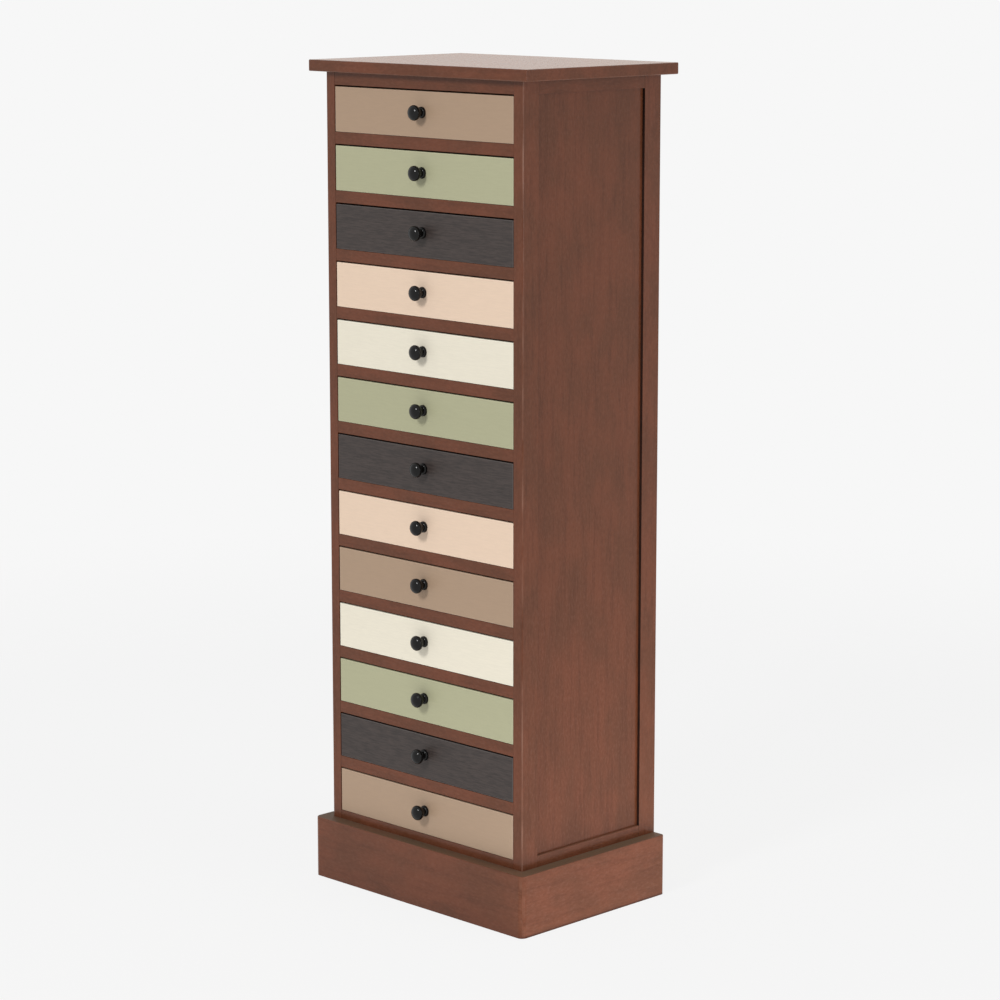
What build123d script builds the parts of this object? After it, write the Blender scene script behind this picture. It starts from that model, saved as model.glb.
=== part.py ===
"""Tall chest of thirteen small drawers.

Frame-and-panel sides stand on the floor, rails tie them together at the front and the back, a mitred
plinth wraps the foot, and a board overhangs the top. Each drawer is a box that slides on wooden runners.
Lengths are in millimetres. X runs across the front, the front faces -Y and Z is up. The origin is on the
floor, in the middle of the whole object's width and depth.
"""

from build123d import *
import os

# Carcass
BODY_WIDTH = 362.0
BODY_DEPTH = 254.0
STILE_THICKNESS = 16.0
FRONT_STILE_WIDTH = 28.0
BACK_STILE_WIDTH = 31.0
STILE_EASE = 1.6
RAIL_THICKNESS = 15.5
RAIL_DEPTH = 40.0
TOP_RAIL_THICKNESS = 17.1
BOTTOM_RAIL_SHOWING = 12.0
JOINT_EASE = 0.4

# Side frames and their sunk panels
SIDE_TOP_RAIL_HEIGHT = 17.0
SIDE_BOTTOM_RAIL_HEIGHT = 38.0
SIDE_RAIL_SHOWING = 15.0
PANEL_THICKNESS = 6.0
PANEL_RECESS = 4.0
PANEL_TONGUE = 6.0
GROOVE_FIT = 0.2

# Back and bottom
BACK_THICKNESS = 4.0
BACK_REBATE = 8.0
BACK_RAIL_THICKNESS = 16.0
BOTTOM_THICKNESS = 6.0

# Top board
TOP_THICKNESS = 15.0
TOP_FRONT_OVERHANG = 14.0
TOP_SIDE_OVERHANG = 19.0
TOP_BACK_OVERHANG = 12.0
TOP_EASE = 1.5

# Plinth
PLINTH_HEIGHT = 83.0
PLINTH_THICKNESS = 18.0
PLINTH_EASE = 1.2
PLINTH_CORNER = 8.0
PLINTH_BACK_CORNER = 4.0

# Drawers
DRAWER_COUNT = 13
FRONT_HEIGHT = 58.8
FRONT_THICKNESS = 15.0
FRONT_EASE = 1.0
GAP_ABOVE = 2.2
RUNNING_GAP = 0.3
FRONT_SIDE_GAP = 1.0
BOX_SIDE_GAP = 1.5
BOX_BACK_GAP = 3.0
BOX_BOARD = 10.0
BOX_HEIGHT = 48.0
BASE_THICKNESS = 4.0
BASE_TONGUE = 5.0
BASE_RISE = 6.0

# Runners
RUNNER_WIDTH = 15.0

# Knobs and screws
KNOB_DIAMETER = 20.0
KNOB_PROJECTION = 20.0
KNOB_RIM = 14.0
KNOB_NECK_DIAMETER = 10.5
KNOB_NECK_LENGTH = 4.5
KNOB_COLLAR_DIAMETER = 15.0
KNOB_COLLAR_THICKNESS = 4.0
KNOB_RISE = 2.5
SCREW_DIAMETER = 4.0
SCREW_HEAD_DIAMETER = 8.0
SCREW_HEAD_HEIGHT = 2.5
SCREW_BITE = 9.0
SCREW_CLEARANCE = 0.2
TOP_SCREW_SPACING = 220.0

# How far a cutting shape passes the face it cuts
OVERRUN = 1.0

# Places worked out from the sizes above
FRONT_REACH = max(KNOB_PROJECTION, TOP_FRONT_OVERHANG)
FRONT_Y = FRONT_REACH - (FRONT_REACH + BODY_DEPTH + TOP_BACK_OVERHANG) / 2
BACK_Y = FRONT_Y + BODY_DEPTH
SIDE_X = BODY_WIDTH / 2
OPENING_X = SIDE_X - STILE_THICKNESS
STILE_BACK_Y = FRONT_Y + FRONT_STILE_WIDTH
BACK_STILE_Y = BACK_Y - BACK_STILE_WIDTH
BACK_PANEL_Y = BACK_Y - BACK_THICKNESS
BACK_RAIL_Y = BACK_PANEL_Y - BACK_RAIL_THICKNESS
RAIL_BACK_Y = FRONT_Y + RAIL_DEPTH
OPENING_HEIGHT = RUNNING_GAP + FRONT_HEIGHT + GAP_ABOVE
DRAWER_PITCH = OPENING_HEIGHT + RAIL_THICKNESS
LOWEST_OPENING_Z = PLINTH_HEIGHT + BOTTOM_RAIL_SHOWING
HIGHEST_OPENING_Z = LOWEST_OPENING_Z + (DRAWER_COUNT - 1) * DRAWER_PITCH
BOTTOM_RAIL_Z = LOWEST_OPENING_Z - RAIL_THICKNESS
TOP_RAIL_Z = HIGHEST_OPENING_Z + OPENING_HEIGHT
BODY_TOP_Z = TOP_RAIL_Z + TOP_RAIL_THICKNESS
SIDE_TOP_RAIL_Z = BODY_TOP_Z - SIDE_TOP_RAIL_HEIGHT
SIDE_BOTTOM_RAIL_TOP_Z = PLINTH_HEIGHT + SIDE_RAIL_SHOWING
SIDE_BOTTOM_RAIL_Z = SIDE_BOTTOM_RAIL_TOP_Z - SIDE_BOTTOM_RAIL_HEIGHT
PANEL_X = SIDE_X - PANEL_RECESS
PANEL_BACK_X = PANEL_X - PANEL_THICKNESS
FRONT_BACK_Y = FRONT_Y + FRONT_THICKNESS
BOX_BACK_Y = BACK_PANEL_Y - BOX_BACK_GAP
BOX_X = OPENING_X - BOX_SIDE_GAP
BOX_INSIDE_X = BOX_X - BOX_BOARD


def block(low, high):
    """A box between two opposite corners."""
    size = [b - a for a, b in zip(low, high)]
    return Pos(*low) * Box(*size, align=(Align.MIN, Align.MIN, Align.MIN))


def pair(shape):
    """A shape on the right and its mirror image on the left."""
    return {"right": shape, "left": mirror(shape, about=Plane.YZ)}


def bored(shape, *holes):
    """A shape less the holes that go into it."""
    for hole in holes:
        shape = shape - hole
    return shape


def outer_corner(shape, place):
    """The upright edge on the right of a shape, at its front (place 0) or its back (place -1)."""
    return shape.edges().filter_by(Axis.Z).group_by(Axis.Y)[place].sort_by(Axis.X)[-1]


def screw(length):
    """A pan-head screw that points up from the underside of its head at the origin."""
    shank = Cylinder(SCREW_DIAMETER / 2, length, align=(Align.CENTER, Align.CENTER, Align.MIN))
    head = Cylinder(SCREW_HEAD_DIAMETER / 2, SCREW_HEAD_HEIGHT, align=(Align.CENTER, Align.CENTER, Align.MAX))
    return shank + head


def screw_hole(length):
    """The clear room for a screw and its sunk head, open below the head."""
    wide = SCREW_HEAD_DIAMETER / 2 + SCREW_CLEARANCE
    shank = Cylinder(
        SCREW_DIAMETER / 2 + SCREW_CLEARANCE,
        length + SCREW_CLEARANCE,
        align=(Align.CENTER, Align.CENTER, Align.MIN),
    )
    head = Cylinder(wide, SCREW_HEAD_HEIGHT + OVERRUN, align=(Align.CENTER, Align.CENTER, Align.MAX))
    return shank + head


def panel_room():
    """The groove that runs round inside a side frame and takes the panel's edges."""
    return block(
        (PANEL_BACK_X - GROOVE_FIT / 2, STILE_BACK_Y - PANEL_TONGUE, SIDE_BOTTOM_RAIL_TOP_Z - PANEL_TONGUE),
        (PANEL_X + GROOVE_FIT / 2, BACK_STILE_Y + PANEL_TONGUE, SIDE_TOP_RAIL_Z + PANEL_TONGUE),
    )


def back_room():
    """The rebates in the back uprights that take the back panel."""
    reach = OPENING_X + BACK_REBATE
    return block(
        (-reach, BACK_PANEL_Y, SIDE_BOTTOM_RAIL_Z),
        (reach, BACK_Y + OVERRUN, BODY_TOP_Z + OVERRUN),
    )


def front_stile():
    """The right front upright. Its outer corner is eased."""
    shape = block((OPENING_X, FRONT_Y, 0), (SIDE_X, STILE_BACK_Y, BODY_TOP_Z))
    return fillet(outer_corner(shape, 0), STILE_EASE) - panel_room()


def back_stile():
    """The right back upright, grooved for the side panel and rebated for the back."""
    shape = block((OPENING_X, BACK_STILE_Y, 0), (SIDE_X, BACK_Y, BODY_TOP_Z))
    return fillet(outer_corner(shape, -1), STILE_EASE) - panel_room() - back_room()


def side_rails():
    """The rails of the right side frame. Their outer ends are eased, so that the joints show."""
    spans = ((SIDE_BOTTOM_RAIL_Z, SIDE_BOTTOM_RAIL_TOP_Z), (SIDE_TOP_RAIL_Z, BODY_TOP_Z))
    rails = []
    for low, high in spans:
        rail = block((OPENING_X, STILE_BACK_Y, low), (SIDE_X, BACK_STILE_Y, high))
        ends = rail.faces().sort_by(Axis.X)[-1].edges().filter_by(Axis.Z)
        rails.append(chamfer(ends, JOINT_EASE) - panel_room())
    return Compound(children=rails)


def side_panel():
    """The right side's thin panel, which stops short of the bottom of its groove all round."""
    tongue = PANEL_TONGUE - GROOVE_FIT
    return block(
        (PANEL_BACK_X, STILE_BACK_Y - tongue, SIDE_BOTTOM_RAIL_TOP_Z - tongue),
        (PANEL_X, BACK_STILE_Y + tongue, SIDE_TOP_RAIL_Z + tongue),
    )


def runners():
    """The strips on the right that carry the drawers, one behind each rail."""
    strips = []
    for number in range(DRAWER_COUNT):
        top = LOWEST_OPENING_Z + number * DRAWER_PITCH
        low = (OPENING_X - RUNNER_WIDTH, RAIL_BACK_Y, top - RAIL_THICKNESS)
        strips.append(block(low, (OPENING_X, BACK_RAIL_Y, top)))
    return Compound(children=strips)


def front_rail(bottom, thickness):
    """A rail across the front between the uprights. Its front ends are eased, so that the joints show."""
    rail = block((-OPENING_X, FRONT_Y, bottom), (OPENING_X, RAIL_BACK_Y, bottom + thickness))
    return chamfer(rail.faces().sort_by(Axis.Y)[0].edges().filter_by(Axis.Z), JOINT_EASE)


def drawer_rails():
    """The rails between the drawers, from the lowest up."""
    rails = []
    for number in range(1, DRAWER_COUNT):
        bottom = BOTTOM_RAIL_Z + number * DRAWER_PITCH
        rails.append(front_rail(bottom, RAIL_THICKNESS))
    return Compound(children=rails)


def top_screw_places():
    """Where screws come up through the front and back top rails, at the undersides of their heads."""
    rows = ((FRONT_Y + RAIL_BACK_Y) / 2, (BACK_RAIL_Y + BACK_PANEL_Y) / 2)
    seat = TOP_RAIL_Z + SCREW_HEAD_HEIGHT
    return [Pos(side * TOP_SCREW_SPACING / 2, y, seat) for y in rows for side in (-1, 1)]


def top_screw_length():
    """From the seat of a top screw's head through the rail and into the board."""
    return TOP_RAIL_THICKNESS - SCREW_HEAD_HEIGHT + SCREW_BITE


def top_screw_holes():
    """Room for the screws that hold the top board."""
    return [place * screw_hole(top_screw_length()) for place in top_screw_places()]


def top_board():
    """The overhanging board with all its outer edges eased."""
    reach = SIDE_X + TOP_SIDE_OVERHANG
    shape = block(
        (-reach, FRONT_Y - TOP_FRONT_OVERHANG, BODY_TOP_Z),
        (reach, BACK_Y + TOP_BACK_OVERHANG, BODY_TOP_Z + TOP_THICKNESS),
    )
    return bored(fillet(shape.edges(), TOP_EASE), *top_screw_holes())


def back_rails():
    """The top and bottom rails between the back uprights, in front of the back panel."""
    spans = ((SIDE_BOTTOM_RAIL_Z, LOWEST_OPENING_Z), (TOP_RAIL_Z, BODY_TOP_Z))
    rails = []
    for low, high in spans:
        rail = block((-OPENING_X, BACK_RAIL_Y, low), (OPENING_X, BACK_PANEL_Y, high))
        rails.append(bored(rail, *top_screw_holes()))
    return Compound(children=rails)


def back_panel():
    """The thin back board in its rebates."""
    reach = OPENING_X + BACK_REBATE - GROOVE_FIT / 2
    return block((-reach, BACK_PANEL_Y, SIDE_BOTTOM_RAIL_Z), (reach, BACK_Y, BODY_TOP_Z))


def bottom_panel():
    """The board under the front bottom rail and the lowest runners, up to the back rail."""
    return block(
        (-OPENING_X, FRONT_Y, BOTTOM_RAIL_Z - BOTTOM_THICKNESS),
        (OPENING_X, BACK_RAIL_Y, BOTTOM_RAIL_Z),
    )


def plinth():
    """The plinth boards, mitred where they meet, with their corners rounded and their top edges eased."""
    reach = SIDE_X + PLINTH_THICKNESS
    front_face = FRONT_Y - PLINTH_THICKNESS
    ring = block((-reach, front_face, 0), (reach, BACK_Y, PLINTH_HEIGHT))
    rounded = fillet(ring.edges().filter_by(Axis.Z).sort_by(Axis.Y)[:2], PLINTH_CORNER)
    rounded = fillet(rounded.edges().filter_by(Axis.Z).sort_by(Axis.Y)[-2:], PLINTH_BACK_CORNER)
    rounded = fillet(rounded.faces().sort_by(Axis.Z)[-1].edges(), PLINTH_EASE)
    inside = block((-SIDE_X, FRONT_Y, -OVERRUN), (SIDE_X, BACK_Y + OVERRUN, PLINTH_HEIGHT + OVERRUN))
    skirt = rounded - inside
    past = PLINTH_THICKNESS + OVERRUN
    mitre = (SIDE_X + past, FRONT_Y - past)
    behind = BACK_Y + OVERRUN
    outline = Polyline((SIDE_X, FRONT_Y), mitre, (SIDE_X + past, behind), (SIDE_X, behind), close=True)
    half = extrude(make_face(outline), PLINTH_HEIGHT + OVERRUN)
    right = skirt & half
    left = mirror(right, about=Plane.YZ)
    return {"front": skirt - half - mirror(half, about=Plane.YZ), "right": right, "left": left}


def knob_screw_place(height):
    """The seat of a knob screw's head, sunk in the back of the drawer front, pointing out to the front."""
    return Pos(0, FRONT_BACK_Y - SCREW_HEAD_HEIGHT, height) * Rot(90, 0, 0)


def knob_screw_length():
    """From the sunk seat through the drawer front and into the knob."""
    return FRONT_THICKNESS - SCREW_HEAD_HEIGHT + SCREW_BITE


def knob_turning():
    """A turned mushroom knob on a rounded collar, with its foot at the origin and its crown towards -Y."""
    radius = KNOB_DIAMETER / 2
    neck = KNOB_NECK_DIAMETER / 2
    collar = KNOB_COLLAR_DIAMETER / 2
    neck_end = KNOB_COLLAR_THICKNESS + KNOB_NECK_LENGTH
    outline = Curve() + [
        Line((0, 0), (collar, 0)),
        EllipticalCenterArc((neck, 0), collar - neck, KNOB_COLLAR_THICKNESS, 270),
        Line((neck, -KNOB_COLLAR_THICKNESS), (neck, -neck_end)),
        EllipticalCenterArc((neck, -KNOB_RIM), radius - neck, KNOB_RIM - neck_end, 0),
        EllipticalCenterArc((0, -KNOB_RIM), radius, KNOB_PROJECTION - KNOB_RIM, 270),
        Line((0, -KNOB_PROJECTION), (0, 0)),
    ]
    return revolve(make_face(outline), Axis.Y)


def knob(height):
    """A knob and the screw that holds it."""
    place = knob_screw_place(height)
    turned = Pos(0, FRONT_Y, height) * knob_turning()
    return Compound(
        children=[
            turned - place * screw_hole(knob_screw_length()),
            place * screw(knob_screw_length()),
        ]
    )


def drawer_base(floor):
    """The thin bottom of a drawer, in grooves of the sides and the front and under the back."""
    reach = BOX_INSIDE_X + BASE_TONGUE
    return block(
        (-reach, FRONT_BACK_Y - BASE_TONGUE, floor + BASE_RISE),
        (reach, BOX_BACK_Y, floor + BASE_RISE + BASE_THICKNESS),
    )


def base_room(floor):
    """The groove that takes the drawer's bottom, a little larger than it all round."""
    reach = BOX_INSIDE_X + BASE_TONGUE + GROOVE_FIT
    return block(
        (-reach, FRONT_BACK_Y - BASE_TONGUE - GROOVE_FIT, floor + BASE_RISE),
        (reach, BOX_BACK_Y + OVERRUN, floor + BASE_RISE + BASE_THICKNESS + GROOVE_FIT),
    )


def drawer_front(floor, knob_height):
    """A drawer front with eased front edges, bored for its knob and grooved for the drawer's bottom."""
    reach = OPENING_X - FRONT_SIDE_GAP
    shape = block((-reach, FRONT_Y, floor), (reach, FRONT_BACK_Y, floor + FRONT_HEIGHT))
    eased = fillet(shape.faces().sort_by(Axis.Y)[0].edges(), FRONT_EASE)
    bore = knob_screw_place(knob_height) * screw_hole(knob_screw_length())
    return eased - base_room(floor) - bore


def drawer_box(floor):
    """The two sides, the back and the bottom of a drawer."""
    top = floor + BOX_HEIGHT
    side = block((BOX_INSIDE_X, FRONT_BACK_Y, floor), (BOX_X, BOX_BACK_Y, top)) - base_room(floor)
    sides = pair(side)
    back_low = (-BOX_INSIDE_X, BOX_BACK_Y - BOX_BOARD, floor + BASE_RISE + BASE_THICKNESS)
    back = block(back_low, (BOX_INSIDE_X, BOX_BACK_Y, top))
    return Compound(children=[sides["left"], sides["right"], back, drawer_base(floor)])


def carcass():
    """Every piece that stands still, by name."""
    pieces = {
        "top_board": top_board(),
        "front_top_rail": bored(front_rail(TOP_RAIL_Z, TOP_RAIL_THICKNESS), *top_screw_holes()),
        "drawer_rails": drawer_rails(),
        "front_bottom_rail": front_rail(BOTTOM_RAIL_Z, RAIL_THICKNESS),
        "back_rails": back_rails(),
        "back_panel": back_panel(),
        "bottom_panel": bottom_panel(),
        "top_screws": Compound(children=[place * screw(top_screw_length()) for place in top_screw_places()]),
    }
    twins = {
        "front_stile": front_stile(),
        "back_stile": back_stile(),
        "side_rails": side_rails(),
        "side_panel": side_panel(),
        "runners": runners(),
    }
    for name, shape in twins.items():
        for side, copy in pair(shape).items():
            pieces[f"{side}_{name}"] = copy
    for side, board in plinth().items():
        pieces[f"plinth_{side}"] = board
    return pieces


def drawers():
    """Every drawer's pieces, by name, numbered from the top."""
    pieces = {}
    for number in range(DRAWER_COUNT):
        floor = HIGHEST_OPENING_Z - number * DRAWER_PITCH + RUNNING_GAP
        knob_height = floor + FRONT_HEIGHT / 2 + KNOB_RISE
        tag = f"{number + 1:02d}"
        pieces[f"drawer_front_{tag}"] = drawer_front(floor, knob_height)
        pieces[f"drawer_box_{tag}"] = drawer_box(floor)
        pieces[f"knob_{tag}"] = knob(knob_height)
    return pieces


os.makedirs("parts", exist_ok=True)
for node, shape in (carcass() | drawers()).items():
    export_step(shape, f"parts/{node}.step")
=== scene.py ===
"""Looks of a tall chest with one column of thirteen drawers.

The stained boards, painted fronts and bare insides keep the solids of the frame and get their finishes here.
The knobs, their screws and the pins in the back are modelled here. Lengths are in metres.
"""

import math

import bpy
from mathutils import Matrix, Vector


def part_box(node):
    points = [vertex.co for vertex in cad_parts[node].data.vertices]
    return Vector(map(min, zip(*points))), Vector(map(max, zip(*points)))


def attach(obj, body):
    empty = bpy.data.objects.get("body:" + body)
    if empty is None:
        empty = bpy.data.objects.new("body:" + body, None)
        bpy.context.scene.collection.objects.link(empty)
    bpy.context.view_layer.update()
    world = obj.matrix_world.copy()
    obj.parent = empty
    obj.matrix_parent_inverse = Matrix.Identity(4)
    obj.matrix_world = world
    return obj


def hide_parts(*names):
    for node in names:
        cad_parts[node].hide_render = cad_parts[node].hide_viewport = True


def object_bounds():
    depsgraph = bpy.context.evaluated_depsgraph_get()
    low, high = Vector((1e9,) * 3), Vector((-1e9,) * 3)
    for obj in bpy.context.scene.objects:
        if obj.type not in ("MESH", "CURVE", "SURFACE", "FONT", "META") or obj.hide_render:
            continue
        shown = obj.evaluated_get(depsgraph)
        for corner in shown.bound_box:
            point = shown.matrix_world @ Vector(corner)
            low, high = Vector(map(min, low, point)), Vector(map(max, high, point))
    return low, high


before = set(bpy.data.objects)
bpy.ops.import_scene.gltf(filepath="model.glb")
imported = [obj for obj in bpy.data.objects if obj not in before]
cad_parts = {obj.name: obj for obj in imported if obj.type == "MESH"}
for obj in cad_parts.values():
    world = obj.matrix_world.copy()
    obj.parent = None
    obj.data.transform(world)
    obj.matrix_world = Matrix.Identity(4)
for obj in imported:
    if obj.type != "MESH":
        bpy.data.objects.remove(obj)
CAD_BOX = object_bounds()

bl_info = {
    "name": "Thirteen-drawer chest",
    "version": (1, 0, 0),
    "blender": (4, 5, 0),
    "location": "3D View > Sidebar > Chest",
    "description": "Finishes and small fittings of a tall chest of painted drawers",
    "category": "Object",
}

MM = 0.001

# A place counts as on a face within the first distance, and points within the second are made one
TOUCH = 0.1 * MM
WELD = 0.01 * MM

# The least length that a user can set
LEAST_LENGTH = 0.1 * MM

# A face looks along an axis when its normal has this share of it, and mostly that way from the lower share
STRAIGHT = 0.98
MOSTLY = 0.5

# Faces that meet at less than this angle are shaded as one round surface
CREASE = math.radians(40)

DRAWER_COUNT = sum(name.startswith("drawer_front_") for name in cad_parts)
TAGS = [f"{number + 1:02d}" for number in range(DRAWER_COUNT)]

# Boards of the stained frame, by the direction that their grain runs
UPRIGHT_BOARDS = (
    "left_front_stile",
    "right_front_stile",
    "left_back_stile",
    "right_back_stile",
    "left_side_panel",
    "right_side_panel",
)
CROSS_BOARDS = ("top_board", "front_top_rail", "drawer_rails", "front_bottom_rail", "plinth_front")
DEEP_BOARDS = ("left_side_rails", "right_side_rails", "plinth_left", "plinth_right")

# Paint on each drawer front, from the top down
PAINT_ORDER = (
    "taupe",
    "sage",
    "charcoal",
    "peach",
    "cream",
    "sage",
    "charcoal",
    "peach",
    "taupe",
    "cream",
    "sage",
    "charcoal",
    "taupe",
)

# Boards of a drawer box, as built
BOX_BOARD = 10 * MM
BASE_RISE = 6 * MM
BASE_THICKNESS = 4 * MM

# Most of a noise pattern lies between these values. As relief, a pattern stands this high.
PATTERN_SPAN = (0.3, 0.7)
RELIEF = 0.3 * MM

# Paint on an eased edge is lighter by a factor and a lift, which is paint worn thin and a painted highlight,
# and lacquer under a haze by a smaller lift
THIN_AND_HIGHLIT_GAIN = 1.25
THIN_AND_HIGHLIT_LIFT = 0.06
HAZE_LIFT = 0.003

# A soft lamp hangs high in front and a large weak one stands at the right. Patches of lit floor at the right
# and in front throw light up the chest.
KEY_PLACE = (0.5, -3.4, 2.67)
KEY_SIZE = (0.75, 0.95)
FILL_PLACE = (3.0, 0.5, 1.2)
FILL_SIZE = (1.2, 1.6)
RIGHT_PATCH_PLACE = (0.46, 0.2, 0.002)
RIGHT_PATCH_SIZE = (0.52, 0.88)
FRONT_PATCH_PLACE = (0.0, -0.43, 0.002)
FRONT_PATCH_SIZE = (1.2, 0.5)

# The floor is solid near the chest and fades into the backdrop between these distances
FLOOR_CLEAR = 1.2
FLOOR_END = 2.6

# The share of the floor's look that is glow, which leaves a faint shadow. Under the chest the floor is dark,
# from this distance inside the open back.
FLOOR_GLOW_SHARE = 0.92
BACK_SHADE = 60 * MM

# Width of the camera's picture in millimetres, to which its focal length belongs
SENSOR_WIDTH = 36


def linear(code):
    """The linear red, green and blue of an sRGB hex colour."""
    values = [int(code[place:place + 2], 16) / 255 for place in (0, 2, 4)]
    return tuple(v / 12.92 if v <= 0.04045 else ((v + 0.055) / 1.055) ** 2.4 for v in values)


def opaque(colour):
    """A colour with full alpha, as node sockets take it."""
    return (*colour, 1.0)


def colour_setting(name, description, code):
    """A colour that a user can change, written as sRGB hex."""
    return bpy.props.FloatVectorProperty(
        name=name,
        description=description,
        subtype="COLOR",
        default=linear(code),
        min=0,
        max=1,
    )


def length_setting(name, description, length):
    """A length that a user can change."""
    return bpy.props.FloatProperty(
        name=name,
        description=description,
        subtype="DISTANCE",
        default=length,
        min=LEAST_LENGTH,
        precision=4,
    )


def power_setting(name, description, watts):
    """The power of a lamp, which a user can change."""
    return bpy.props.FloatProperty(
        name=name,
        description=description,
        subtype="POWER",
        unit="POWER",
        default=watts,
        min=0,
    )


class ChestFrameFinish(bpy.types.PropertyGroup):
    """Stain and varnish of the frame."""

    stain: colour_setting("Stain", "Main colour of the stained boards", "5D3420")
    stain_red: colour_setting("Red patches", "Colour where the wood took up more of the red stain", "693924")
    stain_dark: colour_setting("Dark grain", "Colour of the darker grain and of stain in the pores", "45210F")
    pore_pale: colour_setting("Pale pores", "Colour of the pores that took no stain", "785040")
    # Painted shade as well as stain pooled in joints: this dark colour darkens corners, joints and the panel
    # recess
    pooled_stain_and_shade: colour_setting("Pooled stain", "Colour where stain and varnish lie thick in joints", "2A150D")
    # Paler colour on eased edges: bare wood where the stain wears, and a painted highlight along the rounded
    # edge
    rubbed: colour_setting("Rubbed edges", "Colour of the stain where an edge has been rubbed thin", "96705F")
    dust: colour_setting("Dust", "Colour of the fine dust that shows at a low angle", "FFCDA8")
    # Dust and a painted reflection: a greyer colour for the plinth's upward faces, as they look at a low
    # angle
    ledge: colour_setting("Ledge", "Colour of the plinth's ledge, with dust in the stain", "443829")
    grain_width: length_setting("Grain width", "Width of a band of grain", 6 * MM)
    pore_width: length_setting("Pore width", "Width of a pore", 2.6 * MM)
    mottle: length_setting("Mottle", "Size of the patches where the stain took unevenly", 45 * MM)


class ChestPaints(bpy.types.PropertyGroup):
    """Paints of the drawer fronts."""

    taupe: colour_setting("Taupe", "Warm grey-brown paint", "A58C75")
    sage: colour_setting("Sage", "Grey-green paint", "AAA98A")
    charcoal: colour_setting("Charcoal", "Warm near-black paint", "38302D")
    peach: colour_setting("Peach", "Pale orange paint", "E3CAB3")
    cream: colour_setting("Cream", "Off-white paint", "E6DFCD")
    grain_width: length_setting("Grain width", "Width of the grain lines under the paint", 1.3 * MM)
    grain_show: bpy.props.FloatProperty(
        name="Grain",
        description="How far the grain lines lighten and darken the paint",
        subtype="FACTOR",
        default=0.022,
        min=0,
        max=1,
    )
    dark_grain_show: bpy.props.FloatProperty(
        name="Grain in charcoal",
        description="How far the grain lines lighten and darken the charcoal paint",
        subtype="FACTOR",
        default=0.36,
        min=0,
        max=1,
    )


class ChestKnobs(bpy.types.PropertyGroup):
    """Sizes and colour of the turned knobs and their screws."""

    lacquer: colour_setting("Lacquer", "Colour of the knobs", "060505")
    collar: length_setting("Collar", "Diameter of the foot against the drawer", 15 * MM)
    collar_height: length_setting("Collar height", "Height of the rounded foot", 4 * MM)
    neck: length_setting("Neck", "Diameter between the foot and the head", 10.5 * MM)
    neck_end: length_setting("Neck end", "Distance from the drawer to the back of the head", 8.5 * MM)
    rim: length_setting("Rim", "Distance from the drawer to the widest ring of the head", 14 * MM)
    screw_head: length_setting("Screw head", "Diameter of a knob screw's head", 8 * MM)
    screw_head_height: length_setting("Screw head height", "Height of a knob screw's head", 2.5 * MM)
    screw_shank: length_setting("Screw shank", "Diameter of a knob screw's shank", 4 * MM)


class ChestPins(bpy.types.PropertyGroup):
    """Pins that hold the back."""

    head: length_setting("Pin head", "Diameter of a pin's head", 3.2 * MM)
    proud: length_setting("Proud", "How far a pin's head stands off the back", 0.7 * MM)
    inset: length_setting("Inset", "Distance of the pins from the edge of the back", 4 * MM)
    spacing: length_setting("Spacing", "Greatest distance between two pins", 110 * MM)


class ChestStage(bpy.types.PropertyGroup):
    """Camera, lamps and ground."""

    ground: colour_setting("Ground", "Colour of the floor and of what lies behind", "F7F7F7")
    camera_place: bpy.props.FloatVectorProperty(
        name="Camera place",
        description="Where the camera stands",
        subtype="TRANSLATION",
        unit="LENGTH",
        default=(2.8960, -2.8862, 1.2928),
    )
    camera_turn: bpy.props.FloatProperty(
        name="Camera turn",
        description="How far the camera is turned to the left of the depth axis",
        subtype="ANGLE",
        default=math.radians(44.917),
    )
    camera_tilt: bpy.props.FloatProperty(
        name="Camera tilt",
        description="How far the camera looks down",
        subtype="ANGLE",
        default=math.radians(10.559),
    )
    lens: bpy.props.FloatProperty(
        name="Lens",
        description="Focal length in millimetres",
        default=112.5,
        min=1,
    )
    room_light: bpy.props.FloatProperty(
        name="Room light",
        description="Strength of the even light from all round",
        default=0.45,
        min=0,
    )
    key_power: power_setting("Key lamp", "Power of the soft lamp at the front", 74.0)
    fill_power: power_setting("Fill lamp", "Power of the large lamp at the right", 27.5)
    right_patch_power: power_setting("Right patch", "Power of the light off the floor at the right", 2.6)
    front_patch_power: power_setting("Front patch", "Power of the light off the floor in front", 0.95)


class ChestLooks(bpy.types.PropertyGroup):
    """All settings of the chest."""

    wood: bpy.props.PointerProperty(type=ChestFrameFinish)
    paints: bpy.props.PointerProperty(type=ChestPaints)
    knobs: bpy.props.PointerProperty(type=ChestKnobs)
    pins: bpy.props.PointerProperty(type=ChestPins)
    stage: bpy.props.PointerProperty(type=ChestStage)


def add(tree, kind, sockets=None, **settings):
    """Adds a node with its settings. A socket takes a value, or another node's output as a link."""
    node = tree.nodes.new(kind)
    for name, value in settings.items():
        setattr(node, name, value)
    for name, value in (sockets or {}).items():
        if isinstance(value, bpy.types.NodeSocket):
            tree.links.new(value, node.inputs[name])
        else:
            node.inputs[name].default_value = value
    return node


def start_material(name):
    """A material with a bare shader and its output."""
    material = bpy.data.materials.new(name)
    material.use_nodes = True
    tree = material.node_tree
    tree.nodes.clear()
    shader = add(tree, "ShaderNodeBsdfPrincipled")
    add(tree, "ShaderNodeOutputMaterial", {"Surface": shader.outputs["BSDF"]})
    return material, tree, shader


def streaks(tree, along, width, length, detail=4.0):
    """Noise drawn out along one axis into streaks of a real width and length."""
    sizes = [length if axis == along else width for axis in "XYZ"]
    place = add(tree, "ShaderNodeTexCoord").outputs["Object"]
    spread = add(tree, "ShaderNodeMapping", {"Vector": place, "Scale": [1 / size for size in sizes]})
    sockets = {"Vector": spread.outputs["Vector"], "Scale": 1.0, "Detail": detail, "Roughness": 0.6}
    return add(tree, "ShaderNodeTexNoise", sockets).outputs[0]


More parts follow.
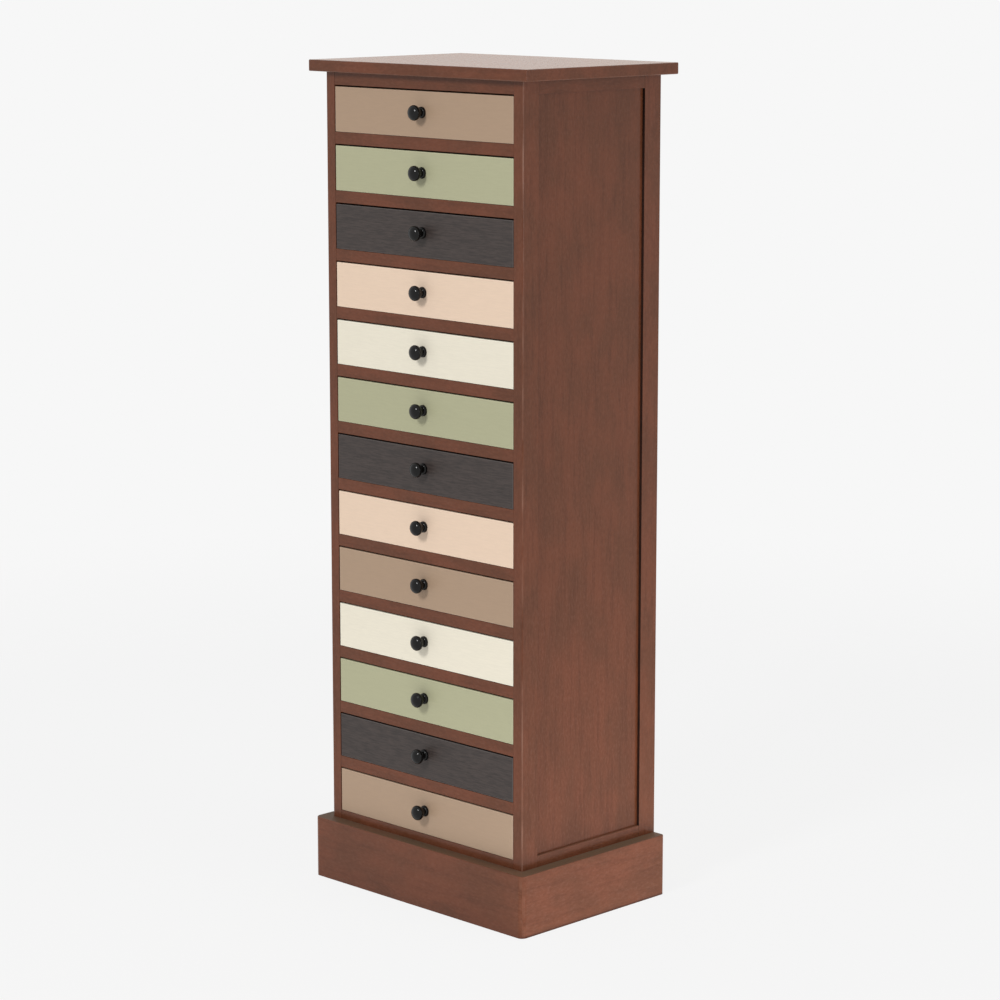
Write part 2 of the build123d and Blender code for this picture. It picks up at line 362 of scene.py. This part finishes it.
def blotches(tree, size, detail):
    """Noise in soft blotches of a real size."""
    place = add(tree, "ShaderNodeTexCoord").outputs["Object"]
    return add(tree, "ShaderNodeTexNoise", {"Vector": place, "Scale": 1 / size, "Detail": detail}).outputs[0]


def lay(tree, under, over, pattern, between, shares=(0.0, 1.0)):
    """A colour laid over another one, which has alpha or comes from a node, where a pattern says.

    As the pattern goes from one to the other of the values that the change lies between, the upper colour
    goes from the first to the second of its shares. A Mix node takes its colours on sockets 6 and 7.
    """
    sockets = {
        "Value": pattern,
        "From Min": between[0],
        "From Max": between[1],
        "To Min": shares[0],
        "To Max": shares[1],
    }
    share = add(tree, "ShaderNodeMapRange", sockets, interpolation_type="SMOOTHSTEP").outputs["Result"]
    return add(tree, "ShaderNodeMix", {0: share, 6: under, 7: opaque(over)}, data_type="RGBA").outputs[2]


def dress(tree, shader, colour, pattern, rough, relief=None):
    """Gives a shader its colour, a roughness that follows a pattern and a relief.

    Rough is the roughness where the pattern is low and where it is high. Relief is a pattern and the strength
    of the bumps that it makes.
    """
    sockets = {
        "Value": pattern,
        "From Min": PATTERN_SPAN[0],
        "From Max": PATTERN_SPAN[1],
        "To Min": rough[0],
        "To Max": rough[1],
    }
    follow = add(tree, "ShaderNodeMapRange", sockets, interpolation_type="SMOOTHSTEP")
    tree.links.new(colour, shader.inputs["Base Color"])
    tree.links.new(follow.outputs["Result"], shader.inputs["Roughness"])
    if relief:
        height, strength = relief
        bump = add(tree, "ShaderNodeBump", {"Strength": strength, "Distance": RELIEF, "Height": height})
        tree.links.new(bump.outputs["Normal"], shader.inputs["Normal"])


def stained_hardwood(name, along, wood, mark=None, rough=(0.18, 0.26)):
    """Close-grained hardwood, sanded, stained red-brown and sprayed with satin varnish.

    The stain takes in soft patches, open pores show as short pale and dark specks, painted shade darkens the
    corners and joints together with stain pooled there, and the varnish turns pale where it is seen at a low
    angle. A mark is a colour and the least and greatest share of it, which change along the board: a paler
    edge that is wear and a painted highlight, or a greyer ledge that is dust and a painted reflection. Rough
    is the varnish's roughness on the wood and in the pores.
    """
    material, tree, shader = start_material(name)
    patches = streaks(tree, along, wood.mottle, 2 * wood.mottle, detail=3.0)
    bands = streaks(tree, along, wood.grain_width, 14 * wood.grain_width, detail=2.0)
    # Real pores are about 0.2 mm wide, and are drawn wider so that they show
    pores = streaks(tree, along, wood.pore_width, 2.4 * wood.pore_width, detail=2.0)
    # Painted shade: an occlusion mask finds corners and joints, where shade falls, together with stain pooled
    # there
    shade_in_corners = add(tree, "ShaderNodeAmbientOcclusion", {"Distance": 2 * MM}, samples=6).outputs["AO"]
    colour = lay(tree, opaque(wood.stain), wood.stain_red, patches, between=(0.34, 0.66))
    colour = lay(tree, colour, wood.stain_dark, bands, between=(0.45, 0.75), shares=(0.0, 0.3))
    colour = lay(tree, colour, wood.pore_pale, pores, between=(0.5, 0.7), shares=(0.0, 0.17))
    colour = lay(tree, colour, wood.stain_dark, pores, between=(0.5, 0.3), shares=(0.0, 0.22))
    if mark:
        tone, *shares = mark
        blots = streaks(tree, along, 40 * MM, 120 * MM, detail=2.0)
        colour = lay(tree, colour, tone, blots, between=(0.38, 0.62), shares=shares)
    # Painted shade: the dark pooled colour is laid where the occlusion mask finds corners and joints
    colour = lay(tree, colour, wood.pooled_stain_and_shade, shade_in_corners, between=(0.6, 0.2), shares=(0.0, 0.6))
    dress(tree, shader, colour, pores, rough, relief=(pores, 0.10))
    shader.inputs["Specular IOR Level"].default_value = 0.25
    shader.inputs["Sheen Weight"].default_value = 0.25
    shader.inputs["Sheen Roughness"].default_value = 0.4
    shader.inputs["Sheen Tint"].default_value = opaque(wood.dust)
    return material


def painted_recess_shade(name, along, wood):
    """Painted shade on the inner edges of a side frame, beside the sunk panel: almost black and dull, where
    the recess lies in shadow.
    """
    material, tree, shader = start_material(name)
    pores = streaks(tree, along, wood.pore_width, 9 * wood.pore_width, detail=2.0)
    # Painted shade: near-black colours stand for the shadow in the recess
    colour = lay(tree, opaque(wood.pooled_stain_and_shade), linear("1A0D08"), pores, between=(0.4, 0.7))
    dress(tree, shader, colour, pores, rough=(0.6, 0.75))
    shader.inputs["Specular IOR Level"].default_value = 0.2
    return material


def satin_paint(name, colour, paints, show, worn_and_highlit=0.0):
    """Satin paint brushed on planed wood.

    The grain under it shows as faint lines along the front, and more so through the dark paint. On an eased
    edge the coat is paler, which is paint worn thin and a painted highlight along the edge.
    """
    material, tree, shader = start_material(name)
    grain = streaks(tree, "X", paints.grain_width, 12 * paints.grain_width)
    shade = tuple(value * (1 - show) for value in colour)
    tint = tuple(min(1.0, value * (1 + show)) for value in colour)
    # Paler colour for eased edges: paint worn thin and a painted highlight
    thin = tuple(min(1.0, value * THIN_AND_HIGHLIT_GAIN + THIN_AND_HIGHLIT_LIFT) for value in colour)
    painted = lay(tree, opaque(shade), tint, grain, between=PATTERN_SPAN)
    painted = add(tree, "ShaderNodeMix", {0: worn_and_highlit, 6: painted, 7: opaque(thin)}, data_type="RGBA").outputs[2]
    dress(tree, shader, painted, grain, rough=(0.42, 0.52), relief=(grain, 0.12))
    shader.inputs["Specular IOR Level"].default_value = 0.35
    return material


def planed_softwood(name, along):
    """Bare planed softwood: pale, with wide early wood and narrow darker late wood, and no sheen."""
    material, tree, shader = start_material(name)
    rings = streaks(tree, along, 7 * MM, 260 * MM, detail=2.0)
    fibre = streaks(tree, along, 1.2 * MM, 40 * MM)
    colour = lay(tree, opaque(linear("D9BC92")), linear("C39C6C"), rings, between=(0.42, 0.60))
    colour = lay(tree, colour, linear("A9855A"), fibre, between=(0.5, 0.8), shares=(0.0, 0.5))
    dress(tree, shader, colour, fibre, rough=(0.62, 0.75), relief=(fibre, 0.2))
    return material


def thin_plywood(name, along):
    """Thin birch plywood: pale rotary-cut face with long soft figure, fine lines and short dark flecks."""
    material, tree, shader = start_material(name)
    figure = streaks(tree, along, 26 * MM, 520 * MM, detail=3.0)
    lines = streaks(tree, along, 3 * MM, 170 * MM, detail=3.0)
    flecks = streaks(tree, along, 1.5 * MM, 14 * MM, detail=2.0)
    colour = lay(tree, opaque(linear("D2B78F")), linear("C5A679"), figure, between=(0.36, 0.64))
    colour = lay(tree, colour, linear("B48F60"), lines, between=(0.48, 0.68), shares=(0.0, 0.55))
    colour = lay(tree, colour, linear("96734A"), flecks, between=(0.62, 0.78), shares=(0.0, 0.5))
    dress(tree, shader, colour, figure, rough=(0.60, 0.72), relief=(flecks, 0.15))
    return material


def black_lacquer(name, colour):
    """Turned hardwood under thick black lacquer: deep gloss with a faint handling haze."""
    material, tree, shader = start_material(name)
    haze = blotches(tree, 6 * MM, detail=3.0)
    dull = tuple(value + HAZE_LIFT for value in colour)
    handled = lay(tree, opaque(colour), dull, haze, between=(0.45, 0.8))
    dress(tree, shader, handled, haze, rough=(0.05, 0.09))
    shader.inputs["Specular IOR Level"].default_value = 0.25
    return material


def zinc_plated_steel(name):
    """Zinc-plated steel screws and pins: bluish grey, bright, with dull blotches in the plating."""
    material, tree, shader = start_material(name)
    dull = blotches(tree, 2 * MM, detail=4.0)
    colour = lay(tree, opaque(linear("C4C7CA")), linear("9FA3A6"), dull, between=(0.35, 0.7))
    dress(tree, shader, colour, dull, rough=(0.26, 0.42))
    shader.inputs["Metallic"].default_value = 1.0
    return material


def finish(name, *materials):
    """Gives a node of the frame its finishes, the first one all over, and returns its mesh."""
    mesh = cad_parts[name].data
    mesh.materials.clear()
    for material in materials:
        mesh.materials.append(material)
    for face in mesh.polygons:
        face.material_index = 0
    return mesh


def eased(face):
    """Whether a face is part of an eased edge, as it looks along none of the axes."""
    return max(abs(part) for part in face.normal) < STRAIGHT


def turn(rings, end, centre, outward, sides):
    """A turned shape, drawn out ring by ring along the depth axis from its foot to its pole.

    Rings are pairs of distance from the foot and radius. Outward is -1 towards the front and 1 to the back.
    """
    bpy.ops.object.select_all(action="DESELECT")
    bpy.ops.mesh.primitive_circle_add(
        vertices=sides,
        radius=rings[0][1],
        fill_type="NGON",
        location=centre,
        rotation=(math.radians(90), 0, 0),
    )
    turned = bpy.context.object
    bpy.ops.object.transform_apply(location=True, rotation=True, scale=True)
    bpy.ops.object.mode_set(mode="EDIT")
    bpy.ops.mesh.select_all(action="SELECT")
    reach, radius = rings[0]
    for distance, size in rings[1:]:
        step = (0, outward * (distance - reach), 0)
        bpy.ops.mesh.extrude_region_move(TRANSFORM_OT_translate={"value": step})
        share = size / radius
        middle = centre + Vector((0, outward * distance, 0))
        bpy.ops.transform.resize(value=(share, 1, share), center_override=middle)
        reach, radius = distance, size
    bpy.ops.mesh.extrude_region_move(TRANSFORM_OT_translate={"value": (0, outward * (end - reach), 0)})
    bpy.ops.mesh.merge(type="CENTER")
    bpy.ops.mesh.select_all(action="SELECT")
    bpy.ops.mesh.remove_doubles(threshold=WELD)
    bpy.ops.mesh.normals_make_consistent(inside=False)
    bpy.ops.object.mode_set(mode="OBJECT")
    bpy.ops.object.shade_smooth_by_angle(angle=CREASE)
    return turned


def copy_at(pattern, name, move):
    """A copy of a pattern with its own mesh, moved from the pattern's place."""
    mesh = pattern.data.copy()
    mesh.transform(Matrix.Translation(move))
    piece = bpy.data.objects.new(name, mesh)
    bpy.context.scene.collection.objects.link(piece)
    return piece


def knob_height(tag):
    """The height of a drawer's knob."""
    low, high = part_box(f"knob_{tag}")
    return (low.z + high.z) / 2


class CHEST_OT_finish_frame(bpy.types.Operator):
    """Stain and varnish the boards of the frame"""

    bl_idname = "chest.finish_frame"
    bl_label = "Finish the frame"

    # Greatest share of the paler edge colour on an eased edge, which is bare wood where it wears and a
    # painted highlight along the rounding. Corners of uprights get most.
    UPRIGHT_WEAR_AND_HIGHLIGHT = 0.5
    EDGE_WEAR_AND_HIGHLIGHT = 0.12

    # Least and greatest share of the ledge colour on the plinth's upward faces, which is dust and a painted
    # reflection that greys them as seen at a low angle, and its roughness there
    LEDGE_DUST_AND_SHEEN = (0.6, 0.95)
    LEDGE_ROUGH = (0.55, 0.65)

    def in_recess(self, face):
        """Whether a face of an upright is its inner edge, beside the sunk panel."""
        low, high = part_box("right_side_panel")
        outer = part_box("right_front_stile")[1].x
        place = face.center
        beside = low.y - TOUCH < place.y < high.y + TOUCH
        return beside and high.x - TOUCH < abs(place.x) < outer - TOUCH and abs(face.normal.y) > MOSTLY

    def execute(self, context):
        wood = context.scene.chest_looks.wood
        groups = (
            ("Z", UPRIGHT_BOARDS, self.UPRIGHT_WEAR_AND_HIGHLIGHT),
            ("X", CROSS_BOARDS, self.EDGE_WEAR_AND_HIGHLIGHT),
            ("Y", DEEP_BOARDS, self.EDGE_WEAR_AND_HIGHLIGHT),
        )
        # Painted shade: the inner edges beside the sunk panel get a near-black material for the shadow in the
        # recess
        inner = painted_recess_shade("thick stain", "Z", wood)
        for along, boards, wear_and_highlight in groups:
            rubbed, dusty_and_sheen = (wood.rubbed, 0.0, wear_and_highlight), (wood.ledge, *self.LEDGE_DUST_AND_SHEEN)
            flat = stained_hardwood(f"stained hardwood, grain along {along}", along, wood)
            # Eased edges: paler in patches, which is wear and a painted highlight along the rounded edge
            edge = stained_hardwood(f"stained hardwood edge, grain along {along}", along, wood, rubbed)
            name = f"stained hardwood ledge, grain along {along}"
            ledge = stained_hardwood(name, along, wood, dusty_and_sheen, self.LEDGE_ROUGH)
            for board in boards:
                special = inner if board.endswith("_stile") else ledge
                for face in finish(board, flat, edge, special).polygons:
                    if eased(face):
                        face.material_index = 1
                    # Inner edges beside the sunk panel take the painted recess shade
                    elif board.endswith("_stile") and self.in_recess(face):
                        face.material_index = 2
                    # The plinth's upward faces take the ledge colour: dust and a painted reflection
                    elif board.startswith("plinth_") and face.normal.z > MOSTLY:
                        face.material_index = 2
        return {"FINISHED"}


class CHEST_OT_paint_fronts(bpy.types.Operator):
    """Paint the drawer fronts and leave their backs bare"""

    bl_idname = "chest.paint_fronts"
    bl_label = "Paint the drawer fronts"

    # Share of the paler colour on the fronts' eased edges, which is paint worn thin and a painted highlight
    EDGE_WEAR_AND_HIGHLIGHT = 0.7

    def execute(self, context):
        paints = context.scene.chest_looks.paints
        bare = planed_softwood("planed softwood, drawer fronts", "X")
        coats = {}
        for paint in dict.fromkeys(PAINT_ORDER):
            colour = tuple(getattr(paints, paint))
            show = paints.dark_grain_show if paint == "charcoal" else paints.grain_show
            flat = satin_paint(f"{paint} satin paint", colour, paints, show)
            edge = satin_paint(f"{paint} satin paint edge", colour, paints, show, self.EDGE_WEAR_AND_HIGHLIGHT)
            coats[paint] = (flat, edge)
        for tag, paint in zip(TAGS, PAINT_ORDER, strict=True):
            name = f"drawer_front_{tag}"
            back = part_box(name)[1].y
            for face in finish(name, *coats[paint], bare).polygons:
                if face.center.y > back - TOUCH:
                    face.material_index = 2
                elif eased(face):
                    face.material_index = 1
        return {"FINISHED"}


class CHEST_OT_finish_insides(bpy.types.Operator):
    """Give the drawer boxes, runners, back and bottom their bare wood"""

    bl_idname = "chest.finish_insides"
    bl_label = "Finish the insides"

    def execute(self, context):
        deep = planed_softwood("planed softwood, grain along Y", "Y")
        across = planed_softwood("planed softwood, grain along X", "X")
        upright_ply = thin_plywood("thin plywood, grain along Z", "Z")
        flat_ply = thin_plywood("thin plywood, grain along X", "X")
        for name in ("left_runners", "right_runners"):
            finish(name, deep)
        finish("back_rails", across)
        finish("back_panel", upright_ply)
        finish("bottom_panel", flat_ply)
        finish("top_screws", zinc_plated_steel("zinc-plated steel, top screws"))
        for tag in TAGS:
            name = f"drawer_box_{tag}"
            low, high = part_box(name)
            inside = high.x - BOX_BOARD + TOUCH
            base_low = low.z + BASE_RISE - TOUCH
            base_high = low.z + BASE_RISE + BASE_THICKNESS + TOUCH
            for face in finish(name, deep, across, flat_ply).polygons:
                if abs(face.center.x) > inside:
                    continue
                if base_low <= face.center.z <= base_high:
                    face.material_index = 2
                elif face.center.y >= high.y - BOX_BOARD - TOUCH:
                    face.material_index = 1
        return {"FINISHED"}


class CHEST_OT_turn_knobs(bpy.types.Operator):
    """Turn the knobs and set them on their drawers"""

    bl_idname = "chest.turn_knobs"
    bl_label = "Turn the knobs"

    SIDES = 48
    ARC_STEPS = 6

    def rings(self, knobs, head, crown):
        """Distance from the drawer and radius of each ring, from the foot to just short of the crown."""
        arc = [math.radians(90 * step / self.ARC_STEPS) for step in range(self.ARC_STEPS + 1)]
        collar, neck = knobs.collar / 2, knobs.neck / 2
        depth = knobs.rim - knobs.neck_end
        dome = crown - knobs.rim
        foot = [(knobs.collar_height * math.sin(a), neck + (collar - neck) * math.cos(a)) for a in arc]
        back = [(knobs.rim - depth * math.cos(a), neck + (head - neck) * math.sin(a)) for a in arc]
        front = [(knobs.rim + dome * math.sin(a), head * math.cos(a)) for a in arc[1:-1]]
        return foot + back + front

    def execute(self, context):
        knobs = context.scene.chest_looks.knobs
        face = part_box("drawer_front_01")[0].y
        low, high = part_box("knob_01")
        head, crown = (high.x - low.x) / 2, face - low.y
        centre = Vector((0, face, knob_height("01")))
        pattern = turn(self.rings(knobs, head, crown), crown, centre, -1, self.SIDES)
        pattern.data.materials.append(black_lacquer("black lacquer", tuple(knobs.lacquer)))
        for tag in TAGS:
            knob = copy_at(pattern, f"turned_knob_{tag}", (0, 0, knob_height(tag) - centre.z))
            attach(knob, f"drawer_{tag}")
            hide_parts(f"knob_{tag}")
        bpy.data.objects.remove(pattern)
        return {"FINISHED"}


class CHEST_OT_drive_knob_screws(bpy.types.Operator):
    """Drive a screw through each drawer front into its knob"""

    bl_idname = "chest.drive_knob_screws"
    bl_label = "Drive the knob screws"

    SIDES = 32

    # The rounded crown as a share of the head's height, and its rings as shares of the crown's height and of
    # the head's diameter
    CROWN_SHARE = 0.3
    CROWN_RINGS = ((0.0, 0.5), (0.7, 0.43), (1.0, 0.3))

    # The cross recess as shares of the head's diameter and height
    CROSS_LENGTH_SHARE = 0.62
    CROSS_WIDTH_SHARE = 0.16
    CROSS_DEPTH_SHARE = 0.6

    def cut_cross(self, screw, centre, head, height):
        """Cuts a cross recess for a driver into the head."""
        depth = 2 * self.CROSS_DEPTH_SHARE * height
        sizes = (self.CROSS_LENGTH_SHARE * head, self.CROSS_WIDTH_SHARE * head)
        for width, tall in (sizes, sizes[::-1]):
            bpy.ops.object.select_all(action="DESELECT")
            bpy.ops.mesh.primitive_cube_add(size=1, location=centre, scale=(width, depth, tall))
            blade = bpy.context.object
            bpy.ops.object.transform_apply(location=True, rotation=True, scale=True)
            cut = screw.modifiers.new("cross", "BOOLEAN")
            cut.operation = "DIFFERENCE"
            cut.object = blade
            bpy.context.view_layer.objects.active = screw
            bpy.ops.object.modifier_apply(modifier=cut.name)
            bpy.data.objects.remove(blade)

    def execute(self, context):
        knobs = context.scene.chest_looks.knobs
        low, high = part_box("drawer_front_01")
        length = high.y - low.y
        head, height, shank = knobs.screw_head, knobs.screw_head_height, knobs.screw_shank
        tip = Vector((0, low.y, knob_height("01")))
        crown = self.CROWN_SHARE * height
        rings = [(0, shank / 2), (length - height, shank / 2), (length - height, head / 2)]
        rings += [(length - crown + rise * crown, size * head) for rise, size in self.CROWN_RINGS]
        pattern = turn(rings, length, tip, 1, self.SIDES)
        self.cut_cross(pattern, tip + Vector((0, length, 0)), head, height)
        pattern.data.materials.append(zinc_plated_steel("zinc-plated steel, knob screws"))
        for tag in TAGS:
            screw = copy_at(pattern, f"knob_screw_{tag}", (0, 0, knob_height(tag) - tip.z))
            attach(screw, f"drawer_{tag}")
            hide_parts(f"knob_{tag}")
        bpy.data.objects.remove(pattern)
        return {"FINISHED"}


class CHEST_OT_drive_back_pins(bpy.types.Operator):
    """Pin the back panel round its edges"""

    bl_idname = "chest.drive_back_pins"
    bl_label = "Drive the back pins"

    SIDES = 12

    # Rings of the domed head, as shares of its height and of its radius
    HEAD_RINGS = ((0.0, 1.0), (0.4, 0.92), (0.8, 0.6))

    def spread(self, low, high, spacing):
        """Evenly spaced places from low to high, no further apart than the spacing."""
        count = math.ceil((high - low) / spacing)
        return [low + (high - low) * place / count for place in range(count + 1)]

    def execute(self, context):
        pins = context.scene.chest_looks.pins
        low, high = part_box("back_panel")
        left, right = low.x + pins.inset, high.x - pins.inset
        bottom, top = low.z + pins.inset, high.z - pins.inset
        first = Vector((left, high.y, bottom))
        rings = [(rise * pins.proud, size * pins.head / 2) for rise, size in self.HEAD_RINGS]
        pattern = turn(rings, pins.proud, first, 1, self.SIDES)
        heights = self.spread(bottom, top, pins.spacing)
        widths = self.spread(left, right, pins.spacing)
        places = [(x, z) for x in (left, right) for z in heights]
        places += [(x, z) for z in (bottom, top) for x in widths[1:-1]]
        made = [copy_at(pattern, "back_pin", (x - left, 0, z - bottom)) for x, z in places]
        bpy.data.objects.remove(pattern)
        bpy.ops.object.select_all(action="DESELECT")
        for pin in made:
            pin.select_set(True)
        context.view_layer.objects.active = made[0]
        bpy.ops.object.join()
        joined = context.object
        joined.name = "back_pins"
        joined.data.materials.append(zinc_plated_steel("zinc-plated steel, pins"))
        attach(joined, "carcass")
        return {"FINISHED"}


class CHEST_OT_set_stage(bpy.types.Operator):
    """Lay the floor and set the lamps and the camera"""

    bl_idname = "chest.set_stage"
    bl_label = "Set the stage"

    def lamp(self, name, place, aim, size, power):
        """A soft lamp turned to a point. The camera doesn't see it."""
        data = bpy.data.lights.new(name, "AREA")
        data.shape = "RECTANGLE"
        data.size, data.size_y = size
        data.energy = power
        lamp = bpy.data.objects.new(name, data)
        lamp.location = place
        lamp.rotation_euler = (Vector(aim) - Vector(place)).to_track_quat("-Z", "Y").to_euler()
        lamp.visible_camera = False
        bpy.context.scene.collection.objects.link(lamp)
        return lamp

    def lit_floor(self, name, place, size, power):
        """Light that comes up off a part of the floor. A gloss surface mirrors the plain floor there."""
        above = Vector(place) + Vector((0, 0, 1))
        self.lamp(name, place, above, size, power).visible_glossy = False

    def seen(self, tree):
        """Whether a ray comes from the camera, or from a gloss or clear surface."""
        path = add(tree, "ShaderNodeLightPath").outputs
        either = path["Is Camera Ray"]
        for kind in ("Is Glossy Ray", "Is Transmission Ray"):
            either = add(tree, "ShaderNodeMath", {0: either, 1: path[kind]}, operation="MAXIMUM").outputs[0]
        return either

    def room(self, stage):
        """A room that gives even light and is seen as the pale ground."""
        world = bpy.data.worlds.new("pale room")
        world.use_nodes = True
        tree = world.node_tree
        tree.nodes.clear()
        light = add(tree, "ShaderNodeBackground", {"Color": (1, 1, 1, 1), "Strength": stage.room_light})
        backdrop = add(tree, "ShaderNodeBackground", {"Color": opaque(stage.ground), "Strength": 1.0})
        sockets = {0: self.seen(tree), 1: light.outputs[0], 2: backdrop.outputs[0]}
        mixed = add(tree, "ShaderNodeMixShader", sockets)
        add(tree, "ShaderNodeOutputWorld", {"Surface": mixed.outputs[0]})
        bpy.context.scene.world = world

    def glow_share(self, tree, place):
        """The share of glow at a place on the floor: all of it round the chest, and none well under it.

        It dies away under the plinth's boards and, at the open back, over a longer distance.
        """
        left, right, front = (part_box(f"plinth_{side}") for side in ("left", "right", "front"))
        back = left[1].y
        edges = (
            ("X", left[1].x, left[0].x),
            ("X", right[0].x, right[1].x),
            ("Y", front[1].y, front[0].y),
            ("Y", back - BACK_SHADE, back),
        )
        parts = add(tree, "ShaderNodeSeparateXYZ", {0: place}).outputs
        share = 0.0
        for axis, dark, light in edges:
            sockets = {"Value": parts[axis], "From Min": dark, "From Max": light, "To Max": FLOOR_GLOW_SHARE}
            past = add(tree, "ShaderNodeMapRange", sockets, interpolation_type="SMOOTHSTEP").outputs["Result"]
            share = add(tree, "ShaderNodeMath", {0: share, 1: past}, operation="MAXIMUM").outputs[0]
        return share

    def floor(self, stage):
        """A matt floor that glows to the camera, takes a faint shadow and fades out into the backdrop."""
        bpy.ops.object.select_all(action="DESELECT")
        bpy.ops.mesh.primitive_plane_add(size=2 * FLOOR_END, location=(0, 0, 0))
        floor = bpy.context.object
        floor.name = "floor"
        material = bpy.data.materials.new("pale floor")
        material.use_nodes = True
        tree = material.node_tree
        tree.nodes.clear()
        matt = add(tree, "ShaderNodeBsdfDiffuse", {"Color": opaque(stage.ground)})
        glow = add(tree, "ShaderNodeEmission", {"Color": opaque(stage.ground), "Strength": 1.0})
        clear = add(tree, "ShaderNodeBsdfTransparent")
        place = add(tree, "ShaderNodeTexCoord").outputs["Object"]
        sockets = {0: self.seen(tree), 1: self.glow_share(tree, place)}
        share = add(tree, "ShaderNodeMath", sockets, operation="MULTIPLY").outputs[0]
        near = add(tree, "ShaderNodeMixShader", {0: share, 1: matt.outputs[0], 2: glow.outputs[0]})
        away = add(tree, "ShaderNodeVectorMath", {0: place}, operation="LENGTH").outputs["Value"]
        sockets = {"Value": away, "From Min": FLOOR_CLEAR, "From Max": FLOOR_END}
        fade = add(tree, "ShaderNodeMapRange", sockets, interpolation_type="SMOOTHSTEP").outputs["Result"]
        mixed = add(tree, "ShaderNodeMixShader", {0: fade, 1: near.outputs[0], 2: clear.outputs[0]})
        add(tree, "ShaderNodeOutputMaterial", {"Surface": mixed.outputs[0]})
        floor.data.materials.append(material)

    def camera(self, stage):
        """The camera, where the viewer stands."""
        data = bpy.data.cameras.new("camera")
        data.sensor_width = SENSOR_WIDTH
        data.lens = stage.lens
        camera = bpy.data.objects.new("camera", data)
        camera.location = stage.camera_place
        camera.rotation_euler = (math.radians(90) - stage.camera_tilt, 0, stage.camera_turn)
        bpy.context.scene.collection.objects.link(camera)
        bpy.context.scene.camera = camera

    def execute(self, context):
        stage = context.scene.chest_looks.stage
        context.scene.view_settings.view_transform = "Standard"
        self.room(stage)
        self.floor(stage)
        middle = (CAD_BOX[0] + CAD_BOX[1]) / 2
        self.lamp("key lamp", KEY_PLACE, middle, KEY_SIZE, stage.key_power)
        self.lamp("fill lamp", FILL_PLACE, middle, FILL_SIZE, stage.fill_power)
        self.lit_floor("lit floor at the right", RIGHT_PATCH_PLACE, RIGHT_PATCH_SIZE, stage.right_patch_power)
        self.lit_floor("lit floor in front", FRONT_PATCH_PLACE, FRONT_PATCH_SIZE, stage.front_patch_power)
        self.camera(stage)
        return {"FINISHED"}


class CHEST_PT_sidebar(bpy.types.Panel):
    """The chest's settings and steps"""

    bl_idname = "CHEST_PT_sidebar"
    bl_label = "Chest"
    bl_space_type = "VIEW_3D"
    bl_region_type = "UI"
    bl_category = "Chest"

    def draw(self, context):
        looks = context.scene.chest_looks
        for group in (looks.wood, looks.paints, looks.knobs, looks.pins, looks.stage):
            box = self.layout.box()
            for name in group.__annotations__:
                box.prop(group, name)
        for operator in OPERATORS:
            self.layout.operator(operator.bl_idname)


OPERATORS = (
    CHEST_OT_finish_frame,
    CHEST_OT_paint_fronts,
    CHEST_OT_finish_insides,
    CHEST_OT_turn_knobs,
    CHEST_OT_drive_knob_screws,
    CHEST_OT_drive_back_pins,
    CHEST_OT_set_stage,
)
CLASSES = (
    ChestFrameFinish,
    ChestPaints,
    ChestKnobs,
    ChestPins,
    ChestStage,
    ChestLooks,
    *OPERATORS,
    CHEST_PT_sidebar,
)


def register():
    for one in CLASSES:
        bpy.utils.register_class(one)
    bpy.types.Scene.chest_looks = bpy.props.PointerProperty(type=ChestLooks)


def unregister():
    del bpy.types.Scene.chest_looks
    for one in reversed(CLASSES):
        bpy.utils.unregister_class(one)


def main():
    register()
    bpy.ops.chest.finish_frame()
    bpy.ops.chest.paint_fronts()
    bpy.ops.chest.finish_insides()
    bpy.ops.chest.turn_knobs()
    bpy.ops.chest.drive_knob_screws()
    bpy.ops.chest.drive_back_pins()
    bpy.ops.chest.set_stage()


if __name__ == "__main__":
    main()
